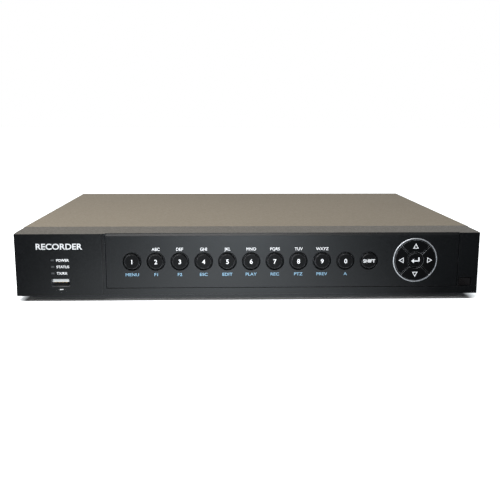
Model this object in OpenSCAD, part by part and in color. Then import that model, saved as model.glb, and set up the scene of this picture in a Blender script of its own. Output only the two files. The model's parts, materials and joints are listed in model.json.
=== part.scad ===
// Compact network video recorder case with front keypad, disk, boards and rear sockets.
// Millimetres. X across the front, front face towards -Y, Z up, feet stand on Z = 0.
// Origin: middle of the footprint, on the floor.

/* [Case] */
// Overall width
case_w = 315; // [280:1:380]
// Depth from the raised front block to the back of the case
case_d = 242; // [220:1:320]
// Height with the feet
case_h = 45; // [44:0.5:60]
// Height of the rubber feet
foot_h = 3; // [2:0.5:6]
// Radius of the rubber feet
foot_r = 9; // [6:0.5:12]
// Sheet metal thickness of the cover
sheet = 0.8; // [0.6:0.1:1.2]
// Sheet metal thickness of the tray and rear panel
tray_t = 1; // [0.8:0.1:1.5]
// Radius of the cover's bent long edges
bend_r = 1.6; // [1:0.1:3]
// Height of the cover's rear lip
lip_h = 6.5; // [5:0.5:7]
// Reach of the rear jacks behind the case
jack_out = 13; // [10:0.5:16]

/* [Front bezel] */
// Depth of the plastic bezel
bezel_d = 30.5; // [20:0.5:40]
// Wall thickness of the bezel
bezel_wall = 2.5; // [2:0.1:4]
// How much narrower each side is at the front
taper_side = 2.3; // [0:0.1:3]
// How much lower the top is at the front
taper_top = 0.1; // [0:0.1:2]
// Radius of the bezel's long corners
bezel_r = 2.4; // [1:0.1:4]
// Right-hand end of the raised block, measured from the middle
block_x = -98.4; // [-120:0.1:-90]
// How far the block stands in front of the rest
block_rise = 1; // [0.5:0.1:2]
// Width of the block's sloped edge
block_slope = 1; // [0.8:0.1:2.4]

/* [Keypad plate] */
// Left edge of the plate
plate_x0 = -95.6; // [-110:0.1:-80]
// Right edge of the plate
plate_x1 = 141; // [120:0.1:142]
// Bottom edge of the plate
plate_z0 = 8.1; // [6:0.1:12]
// Top edge of the plate
plate_z1 = 44.7; // [40:0.1:44.8]
// Plate thickness
plate_t = 1.9; // [1.5:0.1:3]
// Size of the bevel along the plate's top edge
plate_bevel = 1.4; // [0.5:0.1:1.6]
// Gap round the plate
plate_gap = 0.45; // [0.2:0.05:0.6]

/* [Round keys] */
// Middle of the first key
key_x0 = -78.55; // [-85:0.05:-70]
// Distance between keys
key_pitch = 15.9; // [15.4:0.05:18]
// Height of the key row
key_z = 25.9; // [20:0.1:30]
// Radius of a key cap
key_r = 5.2; // [4:0.1:5.8]
// Radius of the round well that a key stands in
well_r = 6; // [5.8:0.05:6.6]
// Chamfer round the mouth of a well
well_bevel = 0.3; // [0.2:0.05:0.6]
// How far a key stands out of the plate
key_out = 0.8; // [0.5:0.1:1.5]
// Gap behind the plate in front of a key's flange
key_gap = 0.3; // [0.2:0.05:0.5]

/* [Direction pad] */
// Middle of the pad across the front
pad_x = 111.8; // [100:0.1:120]
// Height of the middle of the pad
pad_z = 26.2; // [20:0.1:30]
// Outer radius of the bright ring
ring_r = 15.05; // [12:0.05:17]
// Width of the bright ring
ring_w = 0.85; // [0.6:0.05:2]
// Width of the grooves between direction keys
pad_groove = 0.6; // [0.5:0.1:1.5]
// Radius of the enter key
enter_r = 5.1; // [4:0.05:6]

/* [Front port, lights and window] */
// Middle of the front port
port_x = -126; // [-135:0.1:-110]
// Height of the middle of the front port
port_z = 11.9; // [8:0.1:20]
// Middle of the lights
led_x = -130.8; // [-140:0.1:-120]
// Height of the top light
led_z = 27.3; // [24:0.1:30]
// Distance between lights
led_pitch = 4.4; // [3:0.05:6]
// Middle of the receiver window
eye_x = 146.6; // [146.2:0.1:150]
// Height of the middle of the receiver window
eye_z = 11.1; // [9:0.1:14]

/* [Rear sockets] */
// First video jack column
bnc_x0 = 88; // [86:0.5:90]
// Distance between video jack columns
bnc_pitch = 18; // [16:0.5:18]
// Height of the lower row of jacks
row_low = 13.5; // [13:0.1:15]
// Height of the upper row of jacks
row_high = 29.5; // [28:0.1:30]
// Radius of a video jack's barrel
bnc_r = 4.8; // [4.5:0.05:5]
// Radius of an audio jack's shell
rca_r = 4.15; // [4:0.05:4.3]
// Tilt of the power rocker either side of level
rocker_tilt = 10; // [5:1:12]

/* [Hidden] */
$fn = 48;
// overlap that joins or cuts cleanly, and a small assembly gap
eps = 0.01;
fit = 0.05;
// case planes
front_y = -(case_d + jack_out) / 2;
back_y = front_y + case_d;
tip_y = back_y + jack_out;
seam_y = front_y + bezel_d;
seam_gap = 0.3;
half_w = case_w / 2;
in_w = half_w - sheet;
panel_y = back_y - sheet;
panel_in = panel_y - tray_t;
floor_z = foot_h + tray_t;
roof_z = case_h - sheet;
tray_w = in_w - seam_gap;
// front planes, counted backwards from the plate's face
face_y = front_y + block_rise;
ledge_y = face_y + plate_t;
wall_in = face_y + 3.2;
flange_t = 1;
key_back = plate_t + key_gap + flange_t;
flange_r = well_r + 0.65;
// tact switches and the board that carries them
switch_y = face_y + 6.4;
switch_t = 3.5;
switch_w = 6;
board_t = 1.6;
front_board_y = switch_y + switch_t;
plunger_r = 1.7;
plunger_in = 1.4;
switch_bore_d = 2.8;
nav_arm = 9.6;
key_count = 11;
key_heads = [for (i = [0:key_count - 1]) [key_x0 + i * key_pitch, key_z]];
nav_turns = [0, 90, 180, 270];
nav_heads = [for (a = nav_turns) [pad_x + nav_arm * sin(a), pad_z + nav_arm * cos(a)]];
pad_in_r = ring_r - ring_w;
nav_r = pad_in_r - 0.35;
nav_flange_r = pad_in_r + 0.7;
nav_hole_r = enter_r + 0.45;
enter_flange_r = enter_r + 1.85;
enter_back = 5.2;
// front port
port_w = 13.1;
port_h = 5.9;
port_shell = 0.35;
port_mouth = [12.5, 5.5];
port_set = 1;
tongue_w = 10.7;
tongue_t = 1.9;
tongue_gap = 0.2;
// lights and receiver window
led_w = 2.1;
led_h = 1.2;
eye_open = [9, 6];
eye_gap = 0.5;
eye_flange = [11, 8, 0.8];
// bosses and screws
boss_r = 3.2;
screw_r = 1.45;
screw_hole_r = 1.55;
head_r = 2.8;
head_t = 1.5;
case_screw_len = 8;
lip_screw_x = 98;
bezel_boss = [[-150, 36], [-60, 38.5], [60, 38.5], [150, 36]];
board_boss = [[-108, 34], [-108, 12], [92, 12], [133, 12], [92, 39]];
// main board, in plan: a wide strip behind and a wing in front of it
board_z = 9;
board_top = board_z + board_t;
board_x0 = -76;
board_x1 = 152;
board_y1 = panel_in - 0.7;
strip_y0 = 64;
wing_x0 = -36;
wing_y0 = -20;
standoff_r = 2.6;
standoffs = [[-69, 99], [146, 70], [-30, 58], [146, -14], [-30, -14], [60, 58]];
chip_pos = [62, 20];
chip_w = 27;
chip_t = 2;
sink_w = 40;
sink_h = 15;
// disk drive, width by depth by height, and the screws that hold it from below
disk_size = [101.6, 147, 26.1];
disk_x = -98;
disk_y = -14;
disk_z = 8;
disk_lid_t = 2.2;
disk_hole_x = 42.2;
disk_hole_y = 38;
disk_holes = [for (x = [-1, 1], y = [-1, 1]) [disk_x + x * disk_hole_x, disk_y + y * disk_hole_y]];
pad_boss_r = 5;
platter_r = 48;
ribbon_z = 18.5;
// feet
feet = [for (x = [-1, 1], y = [-82, 96]) [x * 135, y]];
// rear layout, across the panel
jacks = [for (i = [0:3], z = [row_low, row_high]) [bnc_x0 + i * bnc_pitch, z]];
monitor_jack = [-16, 31];
all_bnc = concat(jacks, [monitor_jack]);
audio = [[57, row_low], [70, row_low], [57, row_high], [70, row_high], [4, 31]];
bnc_flange_r = 6.4;
bnc_flange_t = 1.5;
rca_flange_r = 5.2;
rca_len = 10;
vga_x = 33;
vga_z = 17.3;
vga_cut = [17.6, 9.2];
vga_screw_x = 12.5;
vga_screw_r = 1.6;
hdmi_x = 4;
hdmi_z = 14.2;
hdmi_size = [15, 5.6];
usb_x = -16;
usb_z = 14.2;
net_x = -37;
net_z = 17.5;
net_size = [16, 17, 13.6];
net_hole = [11.8, 12, 8.2];
term_x = -61;
term_z = 16;
term_size = [20.4, 12, 10];
term_pitch = 5.08;
dc_x = -81;
dc_z = 16;
switch_x = -99;
switch_body = [12.8, 19];
rocker_z = 23;
rocker_r = 6.9;
rocker_w = 8.6;
rocker_open = [9.4, 14.6];
bezel_flange = [15, 21, 2];
rocker_y = panel_y + 0.4;
trunnion_r = 1.5;
fan_x = -132;
fan_z = 22;
fan_w = 30;
fan_t = 10;
fan_hole_r = 14;
fan_corner = 12;
guard_pitch = 4.4;
guard_slot = 3;
hub_r = 7;
blade_r = 13.4;
shaft_r = 1;
run_gap = 0.06;
blades = 7;
blade_pitch = 38;
fan_y0 = panel_in - fan_t;
ground = [-81, 33];
// cover, panel and tray: lower edge of the cover's sides, air slots, tray walls, cable window
skirt_z = 5.2;
panel_corner_r = 1;
vent_w = 2.2;
vent_h = 10;
vent_pitch = 5;
vent_count = 16;
vent_y0 = -10;
vent_rows = [15, 28];
side_wall_h = 11;
front_wall_z = 41.5;
cable_window = [[-24, 14], [24, 28]];
floor_vent_x0 = 78;
floor_vent_y = [10, 40];
floor_vent_count = 12;

// ---------- colours ----------
plastic_black = [0.05, 0.05, 0.06];
key_black = [0.03, 0.03, 0.035];
cover_grey = [0.42, 0.41, 0.37];
steel = [0.72, 0.72, 0.74];
bright = [0.85, 0.86, 0.88];
pcb_green = [0.05, 0.3, 0.15];
chip_black = [0.04, 0.04, 0.045];
rubber_black = [0.08, 0.08, 0.08];
white_plastic = [0.9, 0.9, 0.88];

// ---------- building blocks ----------
// a block from its two corners
module block(low, high) translate(low) cube(high - low);
// an outline in X and Z, thickened along +Y
module slab_y(y0, t) translate([0, y0 + t, 0]) rotate([90, 0, 0]) linear_extrude(t) children();
// an outline in Y and Z, thickened along +X
module slab_x(x0, w) translate([x0, 0, 0]) rotate([90, 0, 90]) linear_extrude(w) children();
// a round bar along Y
module bar_y(x, z, y0, y1, r) translate([x, y1, z]) rotate([90, 0, 0]) cylinder(h = y1 - y0, r = r);
// a round bar along X
module bar_x(x0, x1, y, z, r) translate([x0, y, z]) rotate([0, 90, 0]) cylinder(h = x1 - x0, r = r);
// a centred rectangle with round corners
module rounded(w, h, r) {
  square([w - 2 * r, h], center = true);
  square([w, h - 2 * r], center = true);
  for (x = [-1, 1], y = [-1, 1]) translate([x * (w / 2 - r), y * (h / 2 - r)]) circle(r);
}
// a pan-head screw, head on top of Z = 0, shank going down
module screw(r, length) {
  difference() {
    cylinder(h = head_t, r = head_r);
    for (a = [0, 90]) rotate([0, 0, a]) translate([-head_r * 0.55, -0.3, head_t * 0.4])
      cube([head_r * 1.1, 0.6, head_t]);
  }
  translate([0, 0, -length]) cylinder(h = length + eps, r = r);
}

// ---------- front ----------
module bezel_shell() intersection() {
  translate([0, 0, foot_h]) linear_extrude(case_h)
    polygon([[-half_w, seam_y], [-half_w + taper_side, front_y], [block_x, front_y],
      [block_x + block_slope, face_y], [half_w - taper_side, face_y], [half_w, seam_y]]);
  slab_x(-half_w, case_w)
    polygon([[front_y, foot_h], [front_y, case_h - taper_top], [seam_y, case_h], [seam_y, foot_h]]);
  slab_y(front_y, bezel_d) translate([0, (case_h + foot_h) / 2])
    rounded(case_w, case_h - foot_h, bezel_r);
}

module front_bezel() color(plastic_black) {
  difference() {
    bezel_shell();
    // hollow behind the front wall
    block([-half_w + bezel_wall + taper_side, wall_in, foot_h + bezel_wall],
      [half_w - bezel_wall - taper_side, seam_y + eps, case_h - taper_top - bezel_wall]);
    // recess for the keypad plate, open at the top
    block([plate_x0 - plate_gap, face_y - 1, plate_z0 - plate_gap],
      [plate_x1 + plate_gap, ledge_y, case_h + 1]);
    // room for the key flanges
    for (p = key_heads) bar_y(p[0], p[1], ledge_y - eps, wall_in + eps, flange_r + 0.5);
    bar_y(pad_x, pad_z, ledge_y - eps, wall_in + eps, nav_flange_r + 0.6);
    // port, light and receiver openings
    slab_y(front_y - 1, 3) translate([port_x, port_z]) rounded(port_mouth[0], port_mouth[1], 0.5);
    block([port_x - port_w / 2 - 0.2, front_y + port_set - fit, port_z - port_h / 2 - 0.15],
      [port_x + port_w / 2 + 0.2, wall_in + eps, port_z + port_h / 2 + 0.15]);
    for (i = [0:2]) slab_y(front_y - 1, bezel_wall + 3) translate([led_x, led_z - i * led_pitch])
      square([led_w + 2 * fit, led_h + 2 * fit], center = true);
    slab_y(front_y - 1, bezel_wall + 3) translate([eye_x, eye_z]) square(eye_open, center = true);
  }
  // bosses for the tray screws and for the board screws
  for (p = bezel_boss) difference() {
    bar_y(p[0], p[1], wall_in - eps, seam_y + seam_gap, boss_r);
    bar_y(p[0], p[1], seam_y - 10, seam_y + seam_gap + eps, screw_hole_r);
  }
  for (p = board_boss) difference() {
    bar_y(p[0], p[1], wall_in - eps, front_board_y, boss_r * 0.9);
    bar_y(p[0], p[1], wall_in + 1, front_board_y + eps, screw_hole_r);
  }
}

module keypad_plate() color(plastic_black) difference() {
  slab_x(plate_x0, plate_x1 - plate_x0)
    polygon([[face_y, plate_z0], [face_y, plate_z1 - plate_bevel], [face_y + plate_bevel, plate_z1],
      [ledge_y, plate_z1], [ledge_y, plate_z0]]);
  for (p = key_heads) {
    bar_y(p[0], p[1], face_y - eps, ledge_y + eps, well_r);
    translate([p[0], face_y + well_bevel, p[1]]) rotate([90, 0, 0])
      cylinder(h = well_bevel + eps, r1 = well_r, r2 = well_r + well_bevel);
  }
  bar_y(pad_x, pad_z, face_y - eps, ledge_y + eps, pad_in_r);
  bar_y(pad_x, pad_z, face_y - eps, face_y + 1, ring_r + fit);
}

// the plunger of the tact switch behind a key
module plunger(p, from) bar_y(p[0], p[1], face_y + from + fit, switch_y + plunger_in, plunger_r);

module round_key(i) color(key_black) {
  p = key_heads[i];
  translate([p[0], face_y, p[1]]) rotate([-90, 0, 0]) rotate_extrude()
    polygon([[0, -key_out + 0.1], [key_r * 0.6, -key_out], [key_r - 0.5, -key_out],
      [key_r, -key_out + 0.5], [key_r, key_back - flange_t],
      [flange_r, key_back - flange_t], [flange_r, key_back], [0, key_back]]);
  plunger(p, key_back);
}
module key_1() round_key(0);
module key_2() round_key(1);
module key_3() round_key(2);
module key_4() round_key(3);
module key_5() round_key(4);
module key_6() round_key(5);
module key_7() round_key(6);
module key_8() round_key(7);
module key_9() round_key(8);
module key_0() round_key(9);
module key_shift() round_key(10);

// a quarter of a ring, pointing up before it is turned, with grooves between quarters
module quarter(inner, outer, turn) rotate(-turn) difference() {
  intersection() {
    difference() { circle(outer); circle(inner); }
    polygon([[0, pad_groove / sqrt(2)], [outer * 2, outer * 2 + pad_groove / sqrt(2)],
      [-outer * 2, outer * 2 + pad_groove / sqrt(2)]]);
  }
}
module nav_key(i) color(key_black) {
  turn = nav_turns[i];
  slab_y(face_y - key_out, key_out + key_back - flange_t + eps) translate([pad_x, pad_z])
    quarter(nav_hole_r, nav_r, turn);
  slab_y(face_y + key_back - flange_t, flange_t) translate([pad_x, pad_z])
    quarter(nav_hole_r, nav_flange_r, turn);
  plunger(nav_heads[i], key_back);
}
module nav_up() nav_key(0);
module nav_right() nav_key(1);
module nav_down() nav_key(2);
module nav_left() nav_key(3);

module enter_key() color(key_black) {
  translate([pad_x, face_y, pad_z]) rotate([-90, 0, 0]) rotate_extrude()
    polygon([[0, -key_out], [enter_r - 0.4, -key_out], [enter_r, -key_out + 0.4],
      [enter_r, enter_back - 0.9], [enter_flange_r, enter_back - 0.9],
      [enter_flange_r, enter_back], [0, enter_back]]);
  plunger([pad_x, pad_z], enter_back);
}

module nav_ring() color(bright) translate([pad_x, face_y, pad_z]) rotate([-90, 0, 0])
  rotate_extrude() polygon([[pad_in_r, -0.1], [pad_in_r + 0.2, -0.35], [ring_r - 0.2, -0.35],
    [ring_r, -0.1], [ring_r, 1], [pad_in_r, 1]]);

// the receiver's window, held behind the bezel wall by its flange
module ir_window() color([0.08, 0.02, 0.03]) translate([eye_x, 0, eye_z]) {
  slab_y(face_y + 0.2, wall_in - face_y) square(eye_open - 2 * [eye_gap, eye_gap], center = true);
  slab_y(wall_in, eye_flange[2]) square([eye_flange[0], eye_flange[1]], center = true);
}

module led_lenses() color([0.75, 0.8, 0.75]) for (i = [0:2])
  block([led_x - led_w / 2, front_y + 0.1, led_z - i * led_pitch - led_h / 2],
    [led_x + led_w / 2, front_board_y - 1.8, led_z - i * led_pitch + led_h / 2]);

// a folded metal tube open towards one end, outline w by h
module port_tube(w, h, t) difference() {
  rounded(w, h, 0.6);
  square([w - 2 * t, h - 2 * t], center = true);
}
module usb_front_shell() color(steel) {
  slab_y(front_y + port_set, front_board_y - front_y - port_set) translate([port_x, port_z])
    port_tube(port_w, port_h, port_shell);
}
module usb_front_tongue() color(white_plastic) {
  tongue_top = port_z + port_h / 2 - port_shell - tongue_gap;
  block([port_x - tongue_w / 2, front_y + port_set + 0.2, tongue_top - tongue_t],
    [port_x + tongue_w / 2, front_board_y - 1, tongue_top]);
  block([port_x - port_w / 2 + port_shell + fit, front_board_y - 1.2, port_z],
    [port_x + port_w / 2 - port_shell - fit, front_board_y, port_z + port_h / 2 - port_shell - fit]);
}

module front_board() color(chip_black) difference() {
  block([-140, front_board_y, 6.5], [151, front_board_y + board_t, 41]);
  for (p = board_boss) bar_y(p[0], p[1], front_board_y - eps, front_board_y + board_t + eps, screw_hole_r);
  for (p = bezel_boss) bar_y(p[0], p[1], front_board_y - eps, front_board_y + board_t + eps, boss_r + 0.4);
}

module tact_switch(p) difference() {
  translate([p[0] - switch_w / 2, switch_y, p[1] - switch_w / 2]) cube([switch_w, switch_t, switch_w]);
  bar_y(p[0], p[1], switch_y - eps, switch_y + switch_bore_d, plunger_r + run_gap);
}
module key_switches() color(steel) {
  for (p = key_heads) tact_switch(p);
  for (p = nav_heads) tact_switch(p);
  tact_switch([pad_x, pad_z]);
}

module status_leds() color([0.9, 0.9, 0.7]) for (i = [0:2]) {
  z = led_z - i * led_pitch;
  block([led_x - 1, front_board_y - 1.6, z - 0.8], [led_x + 1, front_board_y, z + 0.8]);
}

module ir_receiver() color(chip_black) {
  block([eye_x - 3, front_board_y - 3, eye_z - 3], [eye_x + 3, front_board_y, eye_z + 4]);
  bar_y(eye_x, eye_z, front_board_y - 4.2, front_board_y - 2.9, 2.2);
}

// screws that hold the bezel to the tray's front wall, and the disk to its pads from below
module case_screws() color(steel) {
  for (p = bezel_boss) translate([p[0], seam_y + seam_gap + tray_t, p[1]]) rotate([-90, 0, 0])
    screw(screw_r, case_screw_len);
  for (p = disk_holes) translate([p[0], p[1], foot_h]) rotate([180, 0, 0])
    screw(screw_r, case_screw_len);
}

// ---------- case ----------
module top_cover() color(cover_grey) {
  cover_y = seam_y + seam_gap;
  difference() {
    slab_y(cover_y, back_y - cover_y) difference() {
      union() {
        translate([0, (case_h + skirt_z) / 2]) rounded(case_w, case_h - skirt_z, bend_r);
        translate([-half_w, skirt_z]) square([case_w, case_h / 2]);
      }
      translate([0, (roof_z + foot_h) / 2]) rounded(2 * in_w, roof_z - foot_h, bend_r - sheet);
      translate([-in_w, 0]) square([2 * in_w, roof_z - bend_r]);
    }
    // rows of air slots in both sides
    for (s = [-1, 1], i = [0:vent_count - 1], z = vent_rows)
      translate([s * half_w, vent_y0 + i * vent_pitch, z]) block([-1, 0, 0], [1, vent_w, vent_h]);
  }
  // lip that closes over the rear panel
  difference() {
    block([-in_w, panel_y, roof_z - lip_h], [in_w, back_y, roof_z + eps]);
    for (x = [-1, 0, 1]) bar_y(x * lip_screw_x, roof_z - lip_h / 2, panel_y - 1, back_y + 1, screw_hole_r);
  }
}

module base_tray() color(steel) difference() {
  union() {
    block([-tray_w, seam_y + seam_gap, foot_h], [tray_w, panel_in, floor_z]);
    for (s = [-1, 1]) block([min(s * tray_w, s * (tray_w - tray_t)), seam_y + seam_gap, foot_h],
      [max(s * tray_w, s * (tray_w - tray_t)), panel_in, foot_h + side_wall_h]);
    block([-tray_w + 2, seam_y + seam_gap, foot_h], [tray_w - 2, seam_y + seam_gap + tray_t, front_wall_z]);
    for (p = disk_holes) translate([p[0], p[1], floor_z - eps])
      cylinder(h = disk_z - floor_z + eps, r = pad_boss_r);
  }
  for (p = disk_holes) translate([p[0], p[1], foot_h - 1]) cylinder(h = disk_z, r = screw_hole_r);
  for (p = standoffs) translate([p[0], p[1], foot_h - 1]) cylinder(h = 3, r = screw_hole_r);
  for (p = bezel_boss) bar_y(p[0], p[1], seam_y, seam_y + 3, screw_hole_r);
  // cable window in the front wall
  slab_y(seam_y, 3) translate(cable_window[0]) square(cable_window[1] - cable_window[0]);
  // air slots in the floor
  for (i = [0:floor_vent_count - 1]) translate([floor_vent_x0 + i * vent_pitch, 0, foot_h])
    block([0, floor_vent_y[0], -1], [vent_w, floor_vent_y[1], tray_t + 1]);
}

module rear_panel() color(steel) difference() {
  slab_y(panel_in, tray_t) translate([0, (foot_h + roof_z - fit) / 2])
    rounded(2 * tray_w, roof_z - fit - foot_h, panel_corner_r);
  for (p = all_bnc) bar_y(p[0], p[1], panel_in - 1, panel_y + 1, bnc_r + 0.2);
  for (p = audio) bar_y(p[0], p[1], panel_in - 1, panel_y + 1, rca_r + 0.2);
  slab_y(panel_in - 1, 3) {
    translate([vga_x, vga_z]) square(vga_cut, center = true);
    for (s = [-1, 1]) translate([vga_x + s * vga_screw_x, vga_z]) circle(vga_screw_r);
    translate([hdmi_x, hdmi_z]) square(hdmi_size + [0.4, 0.4], center = true);
    translate([usb_x, usb_z]) square([port_w + 0.4, port_h + 0.4], center = true);
    translate([net_x, net_z]) square([net_size[0] + 0.4, net_size[2] + 0.4], center = true);
    translate([term_x, term_z]) square([term_size[0] + 0.4, term_size[2] + 0.4], center = true);
    translate([dc_x, dc_z]) square([9.4, 11.4], center = true);
    translate([switch_x, rocker_z]) square(switch_body + [0.4, 0.4], center = true);
    translate(ground) circle(screw_hole_r);
    // fan guard bars
    intersection() {
      translate([fan_x, fan_z]) circle(fan_hole_r - 1);
      for (i = [-2.5:2.5]) translate([fan_x, fan_z + i * guard_pitch])
        square([2 * fan_hole_r, guard_slot], center = true);
    }
    for (x = [-1, 1], z = [-1, 1]) translate([fan_x + x * fan_corner, fan_z + z * fan_corner])
      circle(screw_hole_r);
    for (x = [-1, 0, 1]) translate([x * lip_screw_x, roof_z - lip_h / 2]) circle(screw_hole_r);
  }
}

module rubber_feet() color(rubber_black) for (p = feet) translate([p[0], p[1], 0]) rotate_extrude()
  polygon([[3.5, 0], [foot_r - 1, 0], [foot_r, 1], [foot_r, foot_h], [0, foot_h], [0, 1.4], [3.5, 1.4]]);

// cover, fan and earth screws driven in from the back
module cover_screws() color(bright) {
  for (x = [-1, 0, 1]) translate([x * lip_screw_x, back_y, roof_z - lip_h / 2]) rotate([-90, 0, 0])
    screw(screw_r, 5);
  for (x = [-1, 1], z = [-1, 1]) translate([fan_x + x * fan_corner, panel_y, fan_z + z * fan_corner])
    rotate([-90, 0, 0]) screw(screw_r, 8);
  translate([ground[0], panel_y, ground[1]]) rotate([-90, 0, 0]) screw(screw_r, 6);
}

// ---------- boards ----------
module main_board() color(pcb_green) difference() {
  translate([0, 0, board_z]) linear_extrude(board_t)
    polygon([[board_x0, strip_y0], [board_x0, board_y1], [board_x1, board_y1], [board_x1, wing_y0],
      [wing_x0, wing_y0], [wing_x0, strip_y0]]);
  for (p = standoffs) translate([p[0], p[1], board_z - 1]) cylinder(h = 4, r = screw_hole_r);
}

module board_standoffs() color([0.8, 0.65, 0.3]) for (p = standoffs) translate([p[0], p[1], floor_z])
  difference() {
    cylinder(h = board_z - floor_z, r = standoff_r);
    translate([0, 0, -1]) cylinder(h = board_z, r = screw_hole_r);
  }

module board_screws() color(bright) {
  for (p = standoffs) translate([p[0], p[1], board_top]) screw(screw_r, 6);
  for (p = board_boss) translate([p[0], front_board_y + board_t, p[1]]) rotate([-90, 0, 0])
    screw(screw_r, 6);
}

module board_chips() color(chip_black) translate([0, 0, board_top]) {
  translate([chip_pos[0] - chip_w / 2, chip_pos[1] - chip_w / 2, 0]) cube([chip_w, chip_w, chip_t]);
  for (i = [0:3]) translate([chip_pos[0] + 24, chip_pos[1] - 30 + i * 15, 0]) cube([13, 11, 1.2]);
  for (i = [0:3]) translate([bnc_x0 - 6 + i * bnc_pitch, 80, 0]) cube([10, 10, 1.4]);
  translate([net_x - 8, 78, 0]) cube([16, 12, 6]);
}

module heat_sink() color([0.2, 0.2, 0.22]) {
  x0 = chip_pos[0] - sink_w / 2;
  y0 = chip_pos[1] - sink_w / 2;
  translate([x0, y0, board_top + chip_t]) {
    cube([sink_w, sink_w, 3]);
    for (i = [0:9]) translate([i * (sink_w - 1.6) / 9, 0, 0]) cube([1.6, sink_w, sink_h]);
  }
}

module capacitors() color([0.15, 0.2, 0.35]) for (i = [0:4])
  translate([-22 + i * 13, 44, board_top]) {
    cylinder(h = 12, r = 4);
    cylinder(h = 1.2, r = 4.4);
  }

module coin_cell_holder() color(chip_black) translate([0, 10, board_top]) difference() {
  cylinder(h = 4.6, r = 12);
  translate([0, 0, 1]) cylinder(h = 5, r = 10.1);
  translate([-14, 4, 1]) cube([28, 10, 5]);
}
module coin_cell() color(bright) translate([0, 10, board_top + 1]) cylinder(h = 3.2, r = 10);

// the flat cable with its two plugs from the front board, and the disk's lead to the board
module inner_cables() color([0.75, 0.75, 0.72]) {
  plug = 6;
  y0 = front_board_y + board_t;
  y1 = wing_y0 + plug;
  slab_x(-18, 26) {
    translate([y0, ribbon_z - plug / 2]) square([plug, plug]);
    polygon([[y0 + plug - eps, ribbon_z], [y1 - 1, ribbon_z], [y1 - 1, board_top + plug - eps],
      [y1, board_top + plug - eps], [y1, ribbon_z + 1], [y0 + plug - eps, ribbon_z + 1]]);
    translate([y1 - plug / 2, board_top]) square([plug, plug]);
  }
  lead_x = board_x0 + 8;
  disk_end = disk_y + disk_size[1] / 2;
  translate([0, 0, board_top]) linear_extrude(plug) {
    translate([disk_x - 30, disk_end + fit]) square([38, 3]);
    translate([lead_x - 18, disk_end + fit + 1]) square([26, 1.2]);
    translate([lead_x, disk_end + fit + 1]) square([1.2, 12]);
    translate([lead_x - 3, strip_y0 + 3]) square([8, 10]);
  }
}

// ---------- disk ----------
module disk_case() color([0.6, 0.6, 0.62]) difference() {
  translate([disk_x - disk_size[0] / 2, disk_y - disk_size[1] / 2, disk_z])
    cube([disk_size[0], disk_size[1], disk_size[2] - disk_lid_t]);
  for (p = disk_holes) translate([p[0], p[1], disk_z - 1]) cylinder(h = 6, r = screw_hole_r);
  // platter chamber
  translate([disk_x, disk_y + 22, disk_z + 5]) cylinder(h = disk_size[2], r = platter_r);
  block([disk_x - 40, disk_y - 62, disk_z + 5], [disk_x + 34, disk_y - 28, disk_z + disk_size[2]]);
  // notch for the data and power plugs
  translate([disk_x, disk_y + disk_size[1] / 2, disk_z]) block([-40, -6, -1], [10, 1, 6]);
}
module disk_lid() color(bright) translate([disk_x, disk_y, disk_z + disk_size[2] - disk_lid_t])
  difference() {
    linear_extrude(disk_lid_t) rounded(disk_size[0] - 3, disk_size[1] - 3, 6);
    translate([0, 22, disk_lid_t - 0.6]) difference() {
      cylinder(h = 2, r = 44);
      translate([0, 0, -1]) cylinder(h = 4, r = 40);
    }
  }

// ---------- rear sockets ----------
module bnc_jacks() color(bright) for (p = all_bnc) {
  difference() {
    union() {
      bar_y(p[0], p[1], panel_in, tip_y, bnc_r);
      bar_y(p[0], p[1], panel_y, panel_y + bnc_flange_t, bnc_flange_r);
      translate([p[0], tip_y - 4.5, p[1]]) cylinder(h = 2 * (bnc_r + 0.9), r = 1, center = true);
    }
    bar_y(p[0], p[1], tip_y - 9, tip_y + 1, 4.05);
  }
}
module bnc_insulators() color(white_plastic) for (p = all_bnc) difference() {
  bar_y(p[0], p[1], tip_y - 9, tip_y - 1.5, 2.4);
  bar_y(p[0], p[1], tip_y - 6, tip_y, 0.7);
}
module bnc_housings() color(chip_black) {
  for (i = [0:3]) block([bnc_x0 + i * bnc_pitch - 7, panel_in - 12, board_top],
    [bnc_x0 + i * bnc_pitch + 7, panel_in, row_high + 7]);
  block([57 - 6, panel_in - 10, board_top], [70 + 6, panel_in, row_high + 6]);
  for (x = [monitor_jack[0], audio[4][0]])
    block([x - 6, panel_in - 10, 24.5], [x + 6, panel_in, 37.5]);
}

module audio_jacks() color([0.85, 0.7, 0.35]) for (p = audio) difference() {
  union() {
    bar_y(p[0], p[1], panel_in, panel_y + rca_len, rca_r);
    bar_y(p[0], p[1], panel_y, panel_y + 1.5, rca_flange_r);
  }
  bar_y(p[0], p[1], panel_y - eps, panel_y + rca_len + 1, 3.5);
}
module audio_insulators() color([0.7, 0.1, 0.1]) for (p = audio) difference() {
  bar_y(p[0], p[1], panel_y, panel_y + rca_len - 0.8, 3.45);
  bar_y(p[0], p[1], panel_y + 1, panel_y + rca_len, 1.65);
}

// the slanted outline of a video socket
module dee(w, h) polygon([[-w / 2 + h * 0.18, -h / 2], [w / 2 - h * 0.18, -h / 2], [w / 2, h / 2],
  [-w / 2, h / 2]]);
module vga_socket() color(steel) {
  difference() {
    union() {
      slab_y(panel_y, 0.8) translate([vga_x, vga_z]) rounded(30.8, 12.5, 1.5);
      slab_y(panel_in - 6, 12) translate([vga_x, vga_z]) dee(16.8, 8.3);
    }
    slab_y(panel_in - 5, 14) translate([vga_x, vga_z]) dee(15.8, 7.3);
    for (s = [-1, 1]) bar_y(vga_x + s * vga_screw_x, vga_z, panel_y - 1, panel_y + 2, vga_screw_r);
  }
  for (s = [-1, 1]) difference() {
    union() {
      translate([vga_x + s * vga_screw_x, panel_y + 5.8, vga_z]) rotate([90, 0, 0])
        cylinder(h = 5, r = 2.7, $fn = 6);
      bar_y(vga_x + s * vga_screw_x, vga_z, panel_in - 3, panel_y + 2, screw_r);
    }
    bar_y(vga_x + s * vga_screw_x, vga_z, panel_y + 1, panel_y + 8, 1.2);
  }
}
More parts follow.
